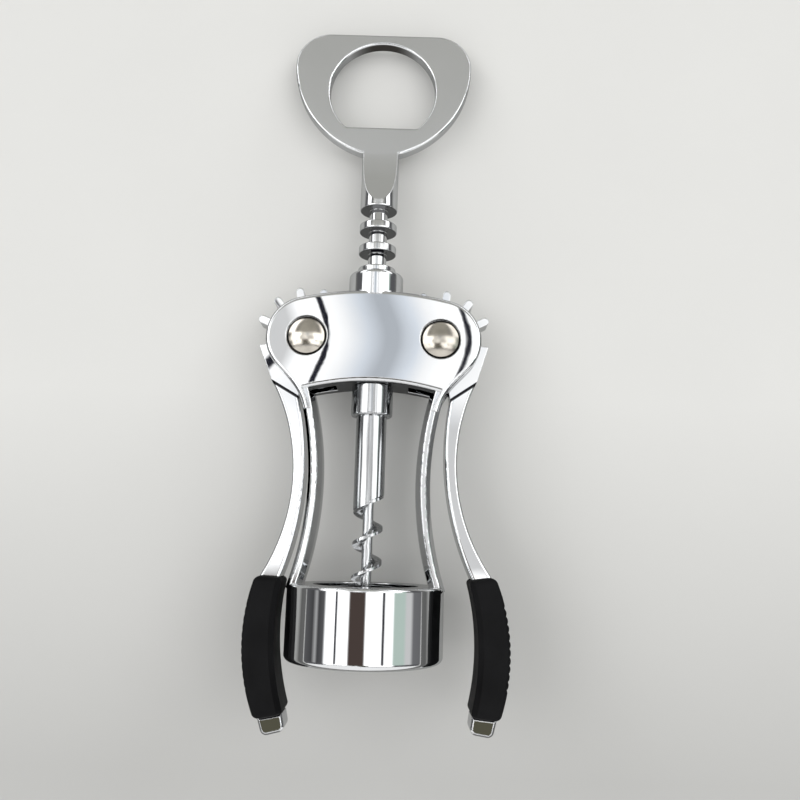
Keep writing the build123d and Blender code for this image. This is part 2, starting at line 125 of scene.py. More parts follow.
# Directions along the screw at which one ring of panels gives way to the next
bell_reach = (-0.175, -0.16)
arm_reach = (-0.045, -0.02)
crown_reach = (0.15, 0.19)
plate_reach = (0.34, 0.4)
seam_reach = (-0.3, -0.32)
low_reach = (-0.38, -0.42)

# Direction upwards below which mirrors show the backdrop
horizon = (-0.02, 0.02)


class CorkscrewGrips(bpy.types.PropertyGroup):
    """Sizes of the rubber grips, seen from the lever's pivot: first outwards, then up"""

    top_outer: FloatVectorProperty(
        name="Top outer", description="Outer end of the grip's upper edge", size=2, unit="LENGTH",
        default=(0.0093, -0.0589),
    )
    top_inner: FloatVectorProperty(
        name="Top inner", description="Inner end of the grip's upper edge", size=2, unit="LENGTH",
        default=(0.0029, -0.0592),
    )
    middle_outer: FloatVectorProperty(
        name="Middle outer", description="Point on the ribbed outer curve", size=2, unit="LENGTH",
        default=(0.0116, -0.0738),
    )
    middle_inner: FloatVectorProperty(
        name="Middle inner", description="Point on the inner curve", size=2, unit="LENGTH",
        default=(0.0041, -0.073),
    )
    end_outer: FloatVectorProperty(
        name="End outer", description="Outer end of the grip's lower edge", size=2, unit="LENGTH",
        default=(0.0077, -0.0913),
    )
    end_inner: FloatVectorProperty(
        name="End inner", description="Inner end of the grip's lower edge", size=2, unit="LENGTH",
        default=(0.001, -0.09),
    )
    depth: FloatProperty(
        name="Depth", description="Thickness of the grip from front to back", unit="LENGTH",
        default=0.013,
    )
    bevel: FloatProperty(
        name="Inner bevel", description="Flat bevel along the two inner edges", unit="LENGTH",
        default=0.0012,
    )
    outer_round: FloatProperty(
        name="Outer round", description="Rounding of the two outer edges", unit="LENGTH", default=0.0012
    )
    end_round: FloatProperty(
        name="End round", description="Rounding of the two ends", unit="LENGTH", default=0.0013
    )
    rib_count: IntProperty(name="Ribs", description="Number of grooves between the ribs", default=11)
    rib_pitch: FloatProperty(
        name="Rib pitch", description="Distance from groove to groove", unit="LENGTH", default=0.00185
    )
    rib_depth: FloatProperty(
        name="Rib depth", description="Depth of the grooves", unit="LENGTH", default=0.00035
    )
    socket_depth: FloatProperty(
        name="Socket depth", description="Depth of the socket round the lever's arm", unit="LENGTH",
        default=0.0009,
    )
    right_angle: FloatProperty(
        name="Right lever", description="How far the right lever stands out at rest", subtype="ANGLE",
        default=radians(4.8),
    )


class CorkscrewFinishes(bpy.types.PropertyGroup):
    """Colours and gloss of the corkscrew's finishes"""

    chrome_colour: FloatVectorProperty(
        name="Chrome", description="Colour of the chrome plate", subtype="COLOR", min=0, max=1,
        default=slot_colour["chrome"],
    )
    steel_colour: FloatVectorProperty(
        name="Steel", description="Colour of the turned steel", subtype="COLOR", min=0, max=1,
        default=slot_colour["steel"],
    )
    nickel_colour: FloatVectorProperty(
        name="Nickel", description="Colour of the warm nickel rivets", subtype="COLOR", min=0, max=1,
        default=slot_colour["nickel"],
    )
    rubber_colour: FloatVectorProperty(
        name="Rubber", description="Colour of the rubber grips", subtype="COLOR", min=0, max=1,
        default=slot_colour["rubber"],
    )
    chrome_roughness: FloatProperty(
        name="Chrome roughness", description="Roughness of the polished chrome", default=0.015
    )
    edge_wear: FloatProperty(
        name="Edge wear", description="Radius that polishing has left on the edges", unit="LENGTH",
        default=0.00035,
    )
    joint_radius: FloatProperty(
        name="Joint radius", description="Outer edge of the dark joint round each rivet", unit="LENGTH",
        default=0.0051,
    )
    # Where the painted shadow line along the arm's shoulder lies, and its width
    shoulder_outer: FloatVectorProperty(
        name="Shoulder outer", description="Outer end of the arm's shoulder, from the pivot", size=2,
        unit="LENGTH", default=(0.0086, -0.0109),
    )
    shoulder_inner: FloatVectorProperty(
        name="Shoulder inner", description="Inner end of the arm's shoulder, from the pivot", size=2,
        unit="LENGTH", default=(0.0016, -0.0149),
    )
    shoulder_line: FloatProperty(
        name="Shoulder line", description="Width of the dark line along the shoulder", unit="LENGTH",
        default=0.0006,
    )
    satin_roughness: FloatProperty(
        name="Satin roughness", description="Roughness of the handle's flat faces", default=0.26
    )


class CorkscrewStage(bpy.types.PropertyGroup):
    """Floor, light and camera"""

    floor_colour: FloatVectorProperty(
        name="Floor", description="Colour of the pale floor", subtype="COLOR", min=0, max=1,
        default=(0.76, 0.758, 0.738),
    )
    floor_height: FloatProperty(
        name="Floor height", description="Height of the floor below the bell", unit="LENGTH",
        default=-0.0193,
    )
    floor_tilt: FloatProperty(
        name="Floor tilt", description="How far the floor rises towards the handle", subtype="ANGLE",
        default=radians(5.7),
    )
    light_level: FloatProperty(
        name="Light level", description="Strength of the studio's panels", default=2.3
    )
    camera_place: FloatVectorProperty(
        name="Camera place", description="Where the camera stands", subtype="TRANSLATION", unit="LENGTH",
        default=(0.00706, 0.02636, 0.19646),
    )
    camera_lens: FloatProperty(name="Lens", description="Focal length in millimetres", default=35.38)
    camera_tilt: FloatProperty(
        name="Camera tilt", description="How far the camera leans towards the handle", subtype="ANGLE",
        default=radians(10.76),
    )
    camera_roll: FloatProperty(
        name="Camera roll", description="How far the camera is turned on its axis", subtype="ANGLE",
        default=radians(1.64),
    )


# Shader nodes


def shader_node(tree, kind, **inputs):
    """New node with values or links for its named inputs."""
    made = tree.nodes.new(kind)
    for name, value in inputs.items():
        socket = made.inputs[name.replace("_", " ")]
        if isinstance(value, bpy.types.NodeSocket):
            tree.links.new(value, socket)
        else:
            socket.default_value = value
    return made


def calculate(tree, operation, *values):
    """Output of a math node."""
    made = tree.nodes.new("ShaderNodeMath")
    made.operation = operation
    for place, value in enumerate(values):
        if isinstance(value, bpy.types.NodeSocket):
            tree.links.new(value, made.inputs[place])
        else:
            made.inputs[place].default_value = value
    return made.outputs["Value"]


def remap(tree, value, low, high, to_low, to_high):
    """Output of a map range node that clamps."""
    made = tree.nodes.new("ShaderNodeMapRange")
    tree.links.new(value, made.inputs["Value"])
    made.inputs["From Min"].default_value = low
    made.inputs["From Max"].default_value = high
    made.inputs["To Min"].default_value = to_low
    made.inputs["To Max"].default_value = to_high
    return made.outputs["Result"]


def colour_ramp(tree, value, stops):
    """Output of a colour ramp with the given places and colours."""
    made = tree.nodes.new("ShaderNodeValToRGB")
    tree.links.new(value, made.inputs["Fac"])
    elements = made.color_ramp.elements
    while len(elements) < len(stops):
        elements.new(0.5)
    for element, (place, colour) in zip(elements, stops):
        element.position = place
        element.color = (*colour, 1)
    return made.outputs["Color"]


def mix_colours(tree, share, first, second):
    """Output of a colour mix."""
    made = tree.nodes.new("ShaderNodeMix")
    made.data_type = "RGBA"
    sockets = [socket for socket in made.inputs if socket.enabled]
    for socket, value in zip(sockets, (share, first, second)):
        if isinstance(value, bpy.types.NodeSocket):
            tree.links.new(value, socket)
        elif isinstance(value, (int, float)):
            socket.default_value = value
        else:
            socket.default_value = (*value, 1)
    return next(socket for socket in made.outputs if socket.enabled)


def noise(tree, vector, scale, detail):
    """Value of a noise texture."""
    return shader_node(
        tree, "ShaderNodeTexNoise", Vector=vector, Scale=scale, Detail=detail
    ).outputs["Fac"]


def stretched(tree, vector, scale):
    """Coordinates stretched along the axes."""
    made = shader_node(tree, "ShaderNodeMapping", Vector=vector, Scale=scale)
    return made.outputs["Vector"]


def new_finish(name):
    """Material with a principled shader, its tree and the object's coordinates."""
    finish = bpy.data.materials.new(name)
    finish.use_nodes = True
    tree = finish.node_tree
    shader = tree.nodes["Principled BSDF"]
    place = tree.nodes.new("ShaderNodeTexCoord")
    return finish, tree, shader, place


def shade(colour, factor):
    """Colour made lighter or darker."""
    return tuple(channel * factor for channel in colour)


def put_on(finish, *names):
    """Gives CAD nodes a finish."""
    for name in names:
        part = frame["nodes"][name]
        if not part.material_slots:
            raise RuntimeError(f"{name} has no material slot")
        for slot in part.material_slots:
            slot.material = finish


# Finishes


def polished(name):
    """Bright chrome with smudges and ripples: finish, tree, shader, coordinates, colour and gloss."""
    looks = bpy.context.scene.corkscrew_finishes
    finish, tree, shader, place = new_finish(name)
    smudges = noise(tree, place.outputs["Object"], scale=60, detail=4)
    tint = remap(tree, smudges, 0.35, 0.7, 0, 1)
    colour = mix_colours(tree, tint, tuple(looks.chrome_colour), shade(looks.chrome_colour, 0.96))
    shader.inputs["Metallic"].default_value = 1
    gloss = remap(tree, smudges, 0.3, 0.75, looks.chrome_roughness, looks.chrome_roughness * 1.6)
    worn_edges = shader_node(tree, "ShaderNodeBevel", Radius=looks.edge_wear)
    worn_edges.samples = 6
    swell = noise(tree, place.outputs["Object"], scale=260, detail=2)
    ripple = shader_node(
        tree, "ShaderNodeBump", Strength=0.05, Distance=0.00004, Height=swell,
        Normal=worn_edges.outputs["Normal"],
    )
    tree.links.new(ripple.outputs["Normal"], shader.inputs["Normal"])
    return finish, tree, shader, place, colour, gloss


def from_pivot(tree, spot):
    """Distances outwards and up from the lever's pivot, alike on both sides."""
    pivot = joint_place["right_lever_pivot"]
    aside = calculate(tree, "ABSOLUTE", spot.outputs["X"])
    outwards = calculate(tree, "SUBTRACT", aside, pivot[0])
    rise = calculate(tree, "SUBTRACT", spot.outputs["Y"], pivot[1])
    return outwards, rise


def frame_finish():
    """Bright chrome, dark in the narrow joints round the rivets, with painted shade and more roughness under the
    crown.
    """
    looks = bpy.context.scene.corkscrew_finishes
    finish, tree, shader, place, colour, gloss = polished("bright_chrome")
    spot = shader_node(tree, "ShaderNodeSeparateXYZ", Vector=place.outputs["Object"])
    facing = shader_node(tree, "ShaderNodeSeparateXYZ", Vector=place.outputs["Normal"])
    outwards, rise = from_pivot(tree, spot)
    rise_square = calculate(tree, "MULTIPLY", rise, rise)
    away = calculate(tree, "SQRT", calculate(tree, "MULTIPLY_ADD", outwards, outwards, rise_square))
    joint = remap(tree, away, looks.joint_radius - joint_softness, looks.joint_radius, 1, 0)
    colour = mix_colours(tree, joint, colour, joint_tone)
    # Painted shade: faces under the crown that look towards the bell get a darker colour, and also more roughness
    towards_bell = remap(tree, facing.outputs["Y"], *underside_facing, 1, 0)
    in_crown = remap(tree, spot.outputs["Y"], *crown_underside, 0, 1)
    underside = calculate(tree, "MULTIPLY", towards_bell, in_crown)
    colour = mix_colours(tree, underside, colour, painted_underside_shade)
    tree.links.new(colour, shader.inputs["Base Color"])
    dulled = calculate(tree, "MULTIPLY_ADD", underside, underside_roughness, gloss)
    tree.links.new(dulled, shader.inputs["Roughness"])
    return finish


def lever_finish(side, angle):
    """Bright chrome for one lever, with a painted shadow line along the shoulder where its arm gets thicker."""
    looks = bpy.context.scene.corkscrew_finishes
    finish, tree, shader, place, colour, gloss = polished(f"{side}_lever_chrome")
    spot = shader_node(tree, "ShaderNodeSeparateXYZ", Vector=place.outputs["Object"])
    outwards, rise = from_pivot(tree, spot)
    turn = Matrix.Rotation(angle, 2)
    outer = turn @ Vector(looks.shoulder_outer)
    edge = (turn @ Vector(looks.shoulder_inner) - outer).normalized()
    down = Vector((-edge.y, edge.x))
    # Painted shadow: a dark line along the shoulder's step, where the arm gets thicker
    lower = calculate(tree, "MULTIPLY_ADD", rise, down.y, -down.dot(outer))
    below = calculate(tree, "MULTIPLY_ADD", outwards, down.x, lower)
    width = looks.shoulder_line
    above_line, below_line = shoulder_edges
    upper_edge = remap(tree, below, -width * above_line, 0, 0, 1)
    lower_edge = remap(tree, below, width, width * below_line, 1, 0)
    shoulder = calculate(tree, "MULTIPLY", upper_edge, lower_edge)
    colour = mix_colours(tree, shoulder, colour, shoulder_shadow_tone)
    tree.links.new(colour, shader.inputs["Base Color"])
    tree.links.new(gloss, shader.inputs["Roughness"])
    return finish


def handle_finish():
    """Bright chrome with satin flats on the plate, and painted shade on the flanks of the rack's rings and on the
    lifter hole's upper wall.
    """
    looks = bpy.context.scene.corkscrew_finishes
    finish, tree, shader, place, colour, gloss = polished("satin_handle")
    facing = shader_node(tree, "ShaderNodeSeparateXYZ", Vector=place.outputs["Normal"])
    spot = shader_node(tree, "ShaderNodeSeparateXYZ", Vector=place.outputs["Object"])
    plate = remap(tree, spot.outputs["Y"], *plate_start, 0, 1)
    flat = remap(tree, calculate(tree, "ABSOLUTE", facing.outputs["Z"]), *flat_facing, 0, 1)
    satin = calculate(tree, "MULTIPLY", flat, plate)
    grain = stretched(tree, place.outputs["Object"], (2400, 500, 2400))
    brushed = noise(tree, grain, scale=1, detail=2)
    satin_gloss = remap(
        tree, brushed, 0.2, 0.8, looks.satin_roughness * 0.95, looks.satin_roughness * 1.05
    )
    extra = calculate(tree, "MULTIPLY", satin, calculate(tree, "SUBTRACT", satin_gloss, gloss))
    tree.links.new(calculate(tree, "ADD", gloss, extra), shader.inputs["Roughness"])
    # Painted shade: the flat flanks of the rack's rings are darkened
    rack = calculate(tree, "SUBTRACT", 1, plate)
    along = calculate(tree, "ABSOLUTE", facing.outputs["Y"])
    flank = remap(tree, along, *flank_facing, 0, flank_share)
    flank_shade = calculate(tree, "MULTIPLY", rack, flank)
    colour = mix_colours(tree, flank_shade, colour, flank_shade_tone)
    # Painted shade: the lifter hole's upper wall, which faces the bell, is darkened
    towards_bell = remap(tree, facing.outputs["Y"], *hole_facing, 1, 0)
    above_hole = remap(tree, spot.outputs["Y"], *lifter_hole_top, 0, 1)
    hole_wall = calculate(tree, "MULTIPLY", towards_bell, above_hole)
    colour = mix_colours(tree, hole_wall, colour, hole_shade_tone)
    tree.links.new(colour, shader.inputs["Base Color"])
    return finish


def steel_finish():
    """Turned steel with fine streaks along the screw."""
    looks = bpy.context.scene.corkscrew_finishes
    finish, tree, shader, place = new_finish("turned_steel")
    grain = stretched(tree, place.outputs["Object"], (1900, 45, 1900))
    streaks = noise(tree, grain, scale=1, detail=3)
    stains = noise(tree, place.outputs["Object"], scale=160, detail=3)
    tint = remap(tree, streaks, 0.32, 0.68, 0, 1)
    colour = mix_colours(tree, tint, shade(looks.steel_colour, 1.1), shade(looks.steel_colour, 0.55))
    tree.links.new(colour, shader.inputs["Base Color"])
    shader.inputs["Metallic"].default_value = 1
    gloss = calculate(
        tree, "ADD", remap(tree, streaks, 0.3, 0.7, 0.08, 0.15), remap(tree, stains, 0.4, 0.7, 0, 0.05)
    )
    tree.links.new(gloss, shader.inputs["Roughness"])
    lines = shader_node(tree, "ShaderNodeBump", Strength=0.3, Distance=0.00005, Height=streaks)
    tree.links.new(lines.outputs["Normal"], shader.inputs["Normal"])
    return finish


def nickel_finish():
    """Warm nickel with soft tarnish."""
    looks = bpy.context.scene.corkscrew_finishes
    finish, tree, shader, place = new_finish("warm_nickel")
    tarnish = noise(tree, place.outputs["Object"], scale=170, detail=3)
    tint = remap(tree, tarnish, 0.35, 0.7, 0, 1)
    colour = mix_colours(tree, tint, shade(looks.nickel_colour, 0.92), shade(looks.nickel_colour, 0.66))
    tree.links.new(colour, shader.inputs["Base Color"])
    shader.inputs["Metallic"].default_value = 1
    tree.links.new(remap(tree, tarnish, 0.3, 0.7, 0.16, 0.24), shader.inputs["Roughness"])
    dents = shader_node(tree, "ShaderNodeBump", Strength=0.04, Distance=0.00006, Height=tarnish)
    tree.links.new(dents.outputs["Normal"], shader.inputs["Normal"])
    return finish


def rubber_finish():
    """Matt black rubber with a fine moulded grain."""
    looks = bpy.context.scene.corkscrew_finishes
    finish, tree, shader, place = new_finish("black_rubber")
    grain = noise(tree, place.outputs["Object"], scale=2600, detail=3)
    bloom = noise(tree, place.outputs["Object"], scale=130, detail=4)
    tint = remap(tree, bloom, 0.35, 0.7, 0, 1)
    colour = mix_colours(tree, tint, shade(looks.rubber_colour, 0.2), shade(looks.rubber_colour, 0.4))
    tree.links.new(colour, shader.inputs["Base Color"])
    tree.links.new(remap(tree, bloom, 0.3, 0.7, 0.5, 0.64), shader.inputs["Roughness"])
    shader.inputs["Specular IOR Level"].default_value = 0.1
    moulding = shader_node(tree, "ShaderNodeBump", Strength=0.25, Distance=0.00005, Height=grain)
    tree.links.new(moulding.outputs["Normal"], shader.inputs["Normal"])
    return finish


# Grips


def arc_through(first, middle, last):
    """Arc through three points: a function from share of its length to point, and its length."""
    first_x, first_y = first
    middle_x, middle_y = middle
    last_x, last_y = last
    squares = [x * x + y * y for x, y in (first, middle, last)]
    rises = (middle_y - last_y, last_y - first_y, first_y - middle_y)
    spans = (last_x - middle_x, first_x - last_x, middle_x - first_x)
    twice_area = 2 * (first_x * rises[0] + middle_x * rises[1] + last_x * rises[2])
    centre_x = sum(square * rise for square, rise in zip(squares, rises)) / twice_area
    centre_y = sum(square * span for square, span in zip(squares, spans)) / twice_area
    centre = Vector((centre_x, centre_y))
    radius = (Vector(first) - centre).length
    start = atan2(first_y - centre_y, first_x - centre_x)
    sweep = (atan2(last_y - centre_y, last_x - centre_x) - start + pi) % (2 * pi) - pi

    def point(share):
        angle = start + sweep * share
        return centre + Vector((cos(angle), sin(angle))) * radius

    return point, abs(sweep) * radius


def grip_section(width, half, bevel, outer_round, inset, ribbed_face):
    """Closed loop round the grip, drawn in by an inset: place across, depth and share of the rib."""
    low = inset
    high = width - inset
    top = half - inset
    cut = max(bevel - inset * end_softness, bevel / 2)
    turn = max(outer_round - inset * end_softness, outer_round / 2)
    front = [(low, top - cut, 0), (low + cut, top, 0)]
    for step in range(1, face_steps):
        front.append((low + cut + (high - turn - low - cut) * step / face_steps, top, 0))
    for step in range(round_steps + 1):
        share = step / round_steps
        angle = pi / 2 * share
        front.append((high - turn + turn * sin(angle), top - turn + turn * cos(angle), share))
    side = [(high, (top - turn) * (1 - step / side_steps), 1) for step in range(1, 2 * side_steps)]
    back = [(across, -depth, rib) for across, depth, rib in reversed(front)]
    inner = [(low, (top - cut) * (2 * step / side_steps - 1), 0) for step in range(1, side_steps)]
    loop = front + side + back + inner
    reach = top * rib_fade
    faded = []
    for across, depth, rib in loop:
        strength = min(1, max(0, (depth * ribbed_face + top) / reach))
        faded.append((across, depth, rib * strength))
    return faded


def grip_mesh(name, ribbed_face):
    """Ribbed sleeve as a mesh in the lever's own axes."""
    sizes = bpy.context.scene.corkscrew_grips
    outer, outer_length = arc_through(sizes.top_outer, sizes.middle_outer, sizes.end_outer)
    inner, _ = arc_through(sizes.top_inner, sizes.middle_inner, sizes.end_inner)
    half = sizes.depth / 2
    first_groove = (outer_length - sizes.rib_pitch * (sizes.rib_count - 1)) / 2
    last_groove = outer_length - first_groove
    rounding = sizes.end_round
    steps = ceil(outer_length / sizes.rib_pitch * rib_steps)
    stations = [outer_length * step / steps for step in range(1, steps)]
    stations = [along for along in stations if rounding < along < outer_length - rounding]
    end = [rounding * (1 - cos(pi / 2 * step / end_steps)) for step in range(end_steps + 1)]
    stations = end + stations + [outer_length - along for along in reversed(end)]

    shell = bmesh.new()
    loops = []
    for along in stations:
        share = along / outer_length
        near_end = min(along, outer_length - along)
        inset = 0
        if near_end < rounding:
            inset = rounding - sqrt(rounding**2 - (rounding - near_end) ** 2)
        groove = 0
        if first_groove - sizes.rib_pitch / 2 < along < last_groove + sizes.rib_pitch / 2:
            wave = abs(sin(pi * (along - first_groove) / sizes.rib_pitch))
            groove = sizes.rib_depth * (1 - wave) ** groove_sharpness
        start = inner(share)
        way_out = outer(share) - start
        width = way_out.length
        way_out = way_out / width
        section = grip_section(width, half, sizes.bevel, sizes.outer_round, inset, ribbed_face)
        loop = []
        for across, depth, rib in section:
            spot = start + way_out * (across - groove * rib)
            loop.append(shell.verts.new((spot.x, spot.y, depth)))
        loops.append(loop)
    count = len(loops[0])
    for upper, lower in zip(loops, loops[1:]):
        for place in range(count):
            after = (place + 1) % count
            shell.faces.new((upper[place], upper[after], lower[after], lower[place]))
    shell.faces.new(loops[-1])
    lid = shell.faces.new(loops[0])
    bmesh.ops.inset_region(shell, faces=[lid], thickness=socket_wall, depth=0)
    pushed = bmesh.ops.extrude_discrete_faces(shell, faces=[lid])["faces"]
    down = (outer(socket_aim) - outer(0)).normalized() * sizes.socket_depth
    corners = [corner for face in pushed for corner in face.verts]
    bmesh.ops.translate(shell, verts=corners, vec=(down.x, down.y, 0))
    bmesh.ops.recalc_face_normals(shell, faces=shell.faces)
    mesh = bpy.data.meshes.new(name)
    shell.to_mesh(mesh)
    shell.free()
    return mesh


# Operators for the pieces


class CORKSCREW_OT_castings(bpy.types.Operator):
    """Chrome on the frame, the levers and the handle"""

    bl_idname = "corkscrew.castings"
    bl_label = "Chrome castings"

    def execute(self, context):
        put_on(frame_finish(), "frame")
        put_on(lever_finish("left", 0), "left_lever")
        put_on(lever_finish("right", context.scene.corkscrew_grips.right_angle), "right_lever")
        put_on(handle_finish(), "opener_head")
        return {"FINISHED"}


class CORKSCREW_OT_screw(bpy.types.Operator):
    """Turned steel on the screw and its collar"""

    bl_idname = "corkscrew.screw"
    bl_label = "Steel screw"

    def execute(self, context):
        put_on(steel_finish(), "worm", "stop_collar")
        return {"FINISHED"}


class CORKSCREW_OT_rivets(bpy.types.Operator):
    """Warm nickel on the pivot rivets and their caps"""

    bl_idname = "corkscrew.rivets"
    bl_label = "Pivot rivets"

    def execute(self, context):
        put_on(
            nickel_finish(), "left_pivot_rivet", "right_pivot_rivet", "left_rivet_cap", "right_rivet_cap"
        )
        return {"FINISHED"}


class CORKSCREW_OT_grips(bpy.types.Operator):
    """Ribbed rubber sleeves on the two levers"""

    bl_idname = "corkscrew.grips"
    bl_label = "Rubber grips"

    def execute(self, context):
        sizes = context.scene.corkscrew_grips
        rubber = rubber_finish()
        for side, outwards, angle in (("left", -1, 0), ("right", 1, sizes.right_angle)):
            mesh = grip_mesh(f"{side}_rubber_grip", outwards)
            turn = Matrix.Rotation(angle, 4, "Z")
            flip = Matrix.Diagonal((outwards, 1, 1, 1))
            mesh.transform(Matrix.Translation(joint_place[f"{side}_lever_pivot"]) @ turn @ flip)
            if outwards < 0:
                mesh.flip_normals()
            mesh.polygons.foreach_set("use_smooth", [True] * len(mesh.polygons))
            mesh.set_sharp_from_angle(angle=radians(crease_angle))
            mesh.materials.append(rubber)
            sleeve = bpy.data.objects.new(f"{side}_rubber_grip", mesh)
            context.scene.collection.objects.link(sleeve)
            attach(sleeve, f"{side}_lever")
            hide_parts(f"{side}_grip")
        return {"FINISHED"}


# Stage


def floor_finish():
    """Pale floor with a faint cloth-like mottle, painted shade towards the levers' ends and a painted darker
    reflection in mirrors.
    """
    settings = bpy.context.scene.corkscrew_stage
    finish, tree, shader, place = new_finish("pale_floor")
    mottle = noise(tree, place.outputs["Object"], scale=25, detail=4)
    rise = shader_node(tree, "ShaderNodeSeparateXYZ", Vector=place.outputs["Object"])
    # Painted shade: the floor gets darker towards the levers' ends, in place of the light's fall-off
    near = remap(tree, rise.outputs["Y"], *floor_fade, 1, 0)
    light = shade(settings.floor_colour, 1.02)
    pale = mix_colours(tree, mottle, light, shade(settings.floor_colour, 0.98))
    pale = mix_colours(tree, near, pale, shade(settings.floor_colour, floor_shade))
    # Painted reflection: in mirrors the floor shows darker, most of all far from the corkscrew
    spread = shader_node(tree, "ShaderNodeVectorMath", Vector=place.outputs["Object"])
    spread.operation = "LENGTH"
    far = remap(tree, spread.outputs["Value"], *floor_near, 0, 1)
    rays = tree.nodes.new("ShaderNodeLightPath")
    dim = remap(tree, far, 0, 1, near_mirrored, 1)
    mirrored = calculate(tree, "MULTIPLY", dim, rays.outputs["Is Glossy Ray"])
    colour = mix_colours(tree, mirrored, pale, shade(settings.floor_colour, mirrored_shade))
    tree.links.new(colour, shader.inputs["Base Color"])
    shader.inputs["Roughness"].default_value = 0.75
    shader.inputs["Specular IOR Level"].default_value = 0.2
    return finish


def add_floor():
    """Wide sheet that the corkscrew lies on."""
    settings = bpy.context.scene.corkscrew_stage
    sheet = bmesh.new()
    bmesh.ops.create_grid(sheet, x_segments=8, y_segments=8, size=floor_size)
    mesh = bpy.data.meshes.new("floor")
    sheet.to_mesh(mesh)
    sheet.free()
    mesh.materials.append(floor_finish())
    floor = bpy.data.objects.new("floor", mesh)
    bpy.context.scene.collection.objects.link(floor)
    floor.rotation_euler = (settings.floor_tilt, 0, 0)
    floor.location = (0, bell_top, settings.floor_height)


def panels(tree, angle, span, stops):
    """Studio panels round the screw's axis, by angle from straight above, over a span of degrees."""
    turn = calculate(tree, "MULTIPLY_ADD", angle, 1 / radians(span), 0.5)
    return colour_ramp(tree, turn, [(degrees / span + 0.5, colour) for degrees, colour in stops])


def tip_panels(tree, angle):
    """Panels mirrored in the levers' tips."""
    return panels(
        tree, angle, full_turn,
        [
            (-120, wall), (-57, wall), (-52, white), (-22, white), (-19, olive), (8, olive), (11, white),
            (42, white), (48, wall), (120, wall),
        ],
    )


def bell_panels(tree, angle):
    """Panels mirrored in the bell: two white ones with a brown gap between them, and greyer walls."""
    return panels(
        tree, angle, full_turn,
        [
            (-120, wall), (-88, wall), (-76, shade(wall, 0.6)), (-70, grey), (-66, shade(wall, 0.6)),
            (-57, wall), (-52, white), (-41, white), (-40, seam), (-37, seam), (-36, white), (-22, white),
            (-19, gap), (2, gap), (5, white), (26, white), (27, seam), (30, seam),
            (31, shade(white, 0.6)), (42, shade(white, 0.7)), (45, mint), (60, mint),
            (64, shade(white, 0.3)), (71, shade(white, 0.3)), (76, shade(wall, 1.6)), (120, wall),
        ],
    )


def arm_panels(tree, angle, aside):
    """Panels mirrored in the levers' arms and the frame's legs."""
    sides = panels(
        tree, angle, full_turn,
        [
            (-120, wall), (-66, wall), (-60, white), (-30, white), (-25, grey), (-19, shade(white, 0.4)),
            (18, shade(white, 0.3)), (24, white), (52, white), (58, mint), (66, wall), (120, wall),
        ],
    )
    middle = panels(
        tree, angle, middle_turn,
        [
            (-20, shade(white, 0.4)), (-13, shade(white, 0.5)), (-10, shade(white, 0.62)),
            (-5, shade(white, 0.62)), (-3.5, shade(white, 0.5)), (3.6, shade(white, 0.34)),
            (20, shade(white, 0.3)),
        ],
    )
    return mix_colours(tree, aside, middle, sides)


def crown_panels(tree, angle, aside, reach):
    """Panels mirrored in the crown, with two thin wavy seams."""
    sides = panels(
        tree, angle, full_turn,
        [
            (-120, wall), (-62, wall), (-56, white), (-24, white), (-20, shade(white, 0.35)), (16, white),
            (52, white), (58, mint), (66, wall), (120, wall),
        ],
    )
    wave = calculate(tree, "SINE", calculate(tree, "MULTIPLY", reach, wave_rate))
    wavy_angle = calculate(tree, "MULTIPLY_ADD", wave, radians(wave_height), angle)
    middle = panels(
        tree, wavy_angle, middle_turn,
        [
            (-20, shade(white, 0.34)), (-15.5, shade(white, 0.34)), (-13.5, shade(white, 0.6)),
            (-10.4, shade(white, 0.7)), (-10.2, seam), (-9.5, seam), (-9.3, shade(white, 0.6)),
            (-7.3, shade(white, 0.53)), (-4, shade(haze, 1.5)), (-1.5, haze), (0.2, haze),
            (1.4, shade(haze, 1.3)), (2.8, shade(haze, 1.6)), (5.4, shade(white, 0.53)),
            (8, shade(white, 0.6)), (10, shade(white, 0.65)), (10.2, seam), (10.7, seam),
            (10.9, shade(white, 0.65)), (12.5, shade(white, 0.45)), (15, shade(white, 0.5)), (20, white),
        ],
    )
    return mix_colours(tree, aside, middle, sides)


def plate_panels(tree, angle):
    """Panels mirrored in the handle's plate."""
    return panels(
        tree, angle, full_turn,
        [
            (-120, wall), (-75, wall), (-70, white), (-52, white), (-46, wall), (-30, pewter),
            (30, pewter), (46, wall), (52, white), (70, white), (75, wall), (120, wall),
        ],
    )


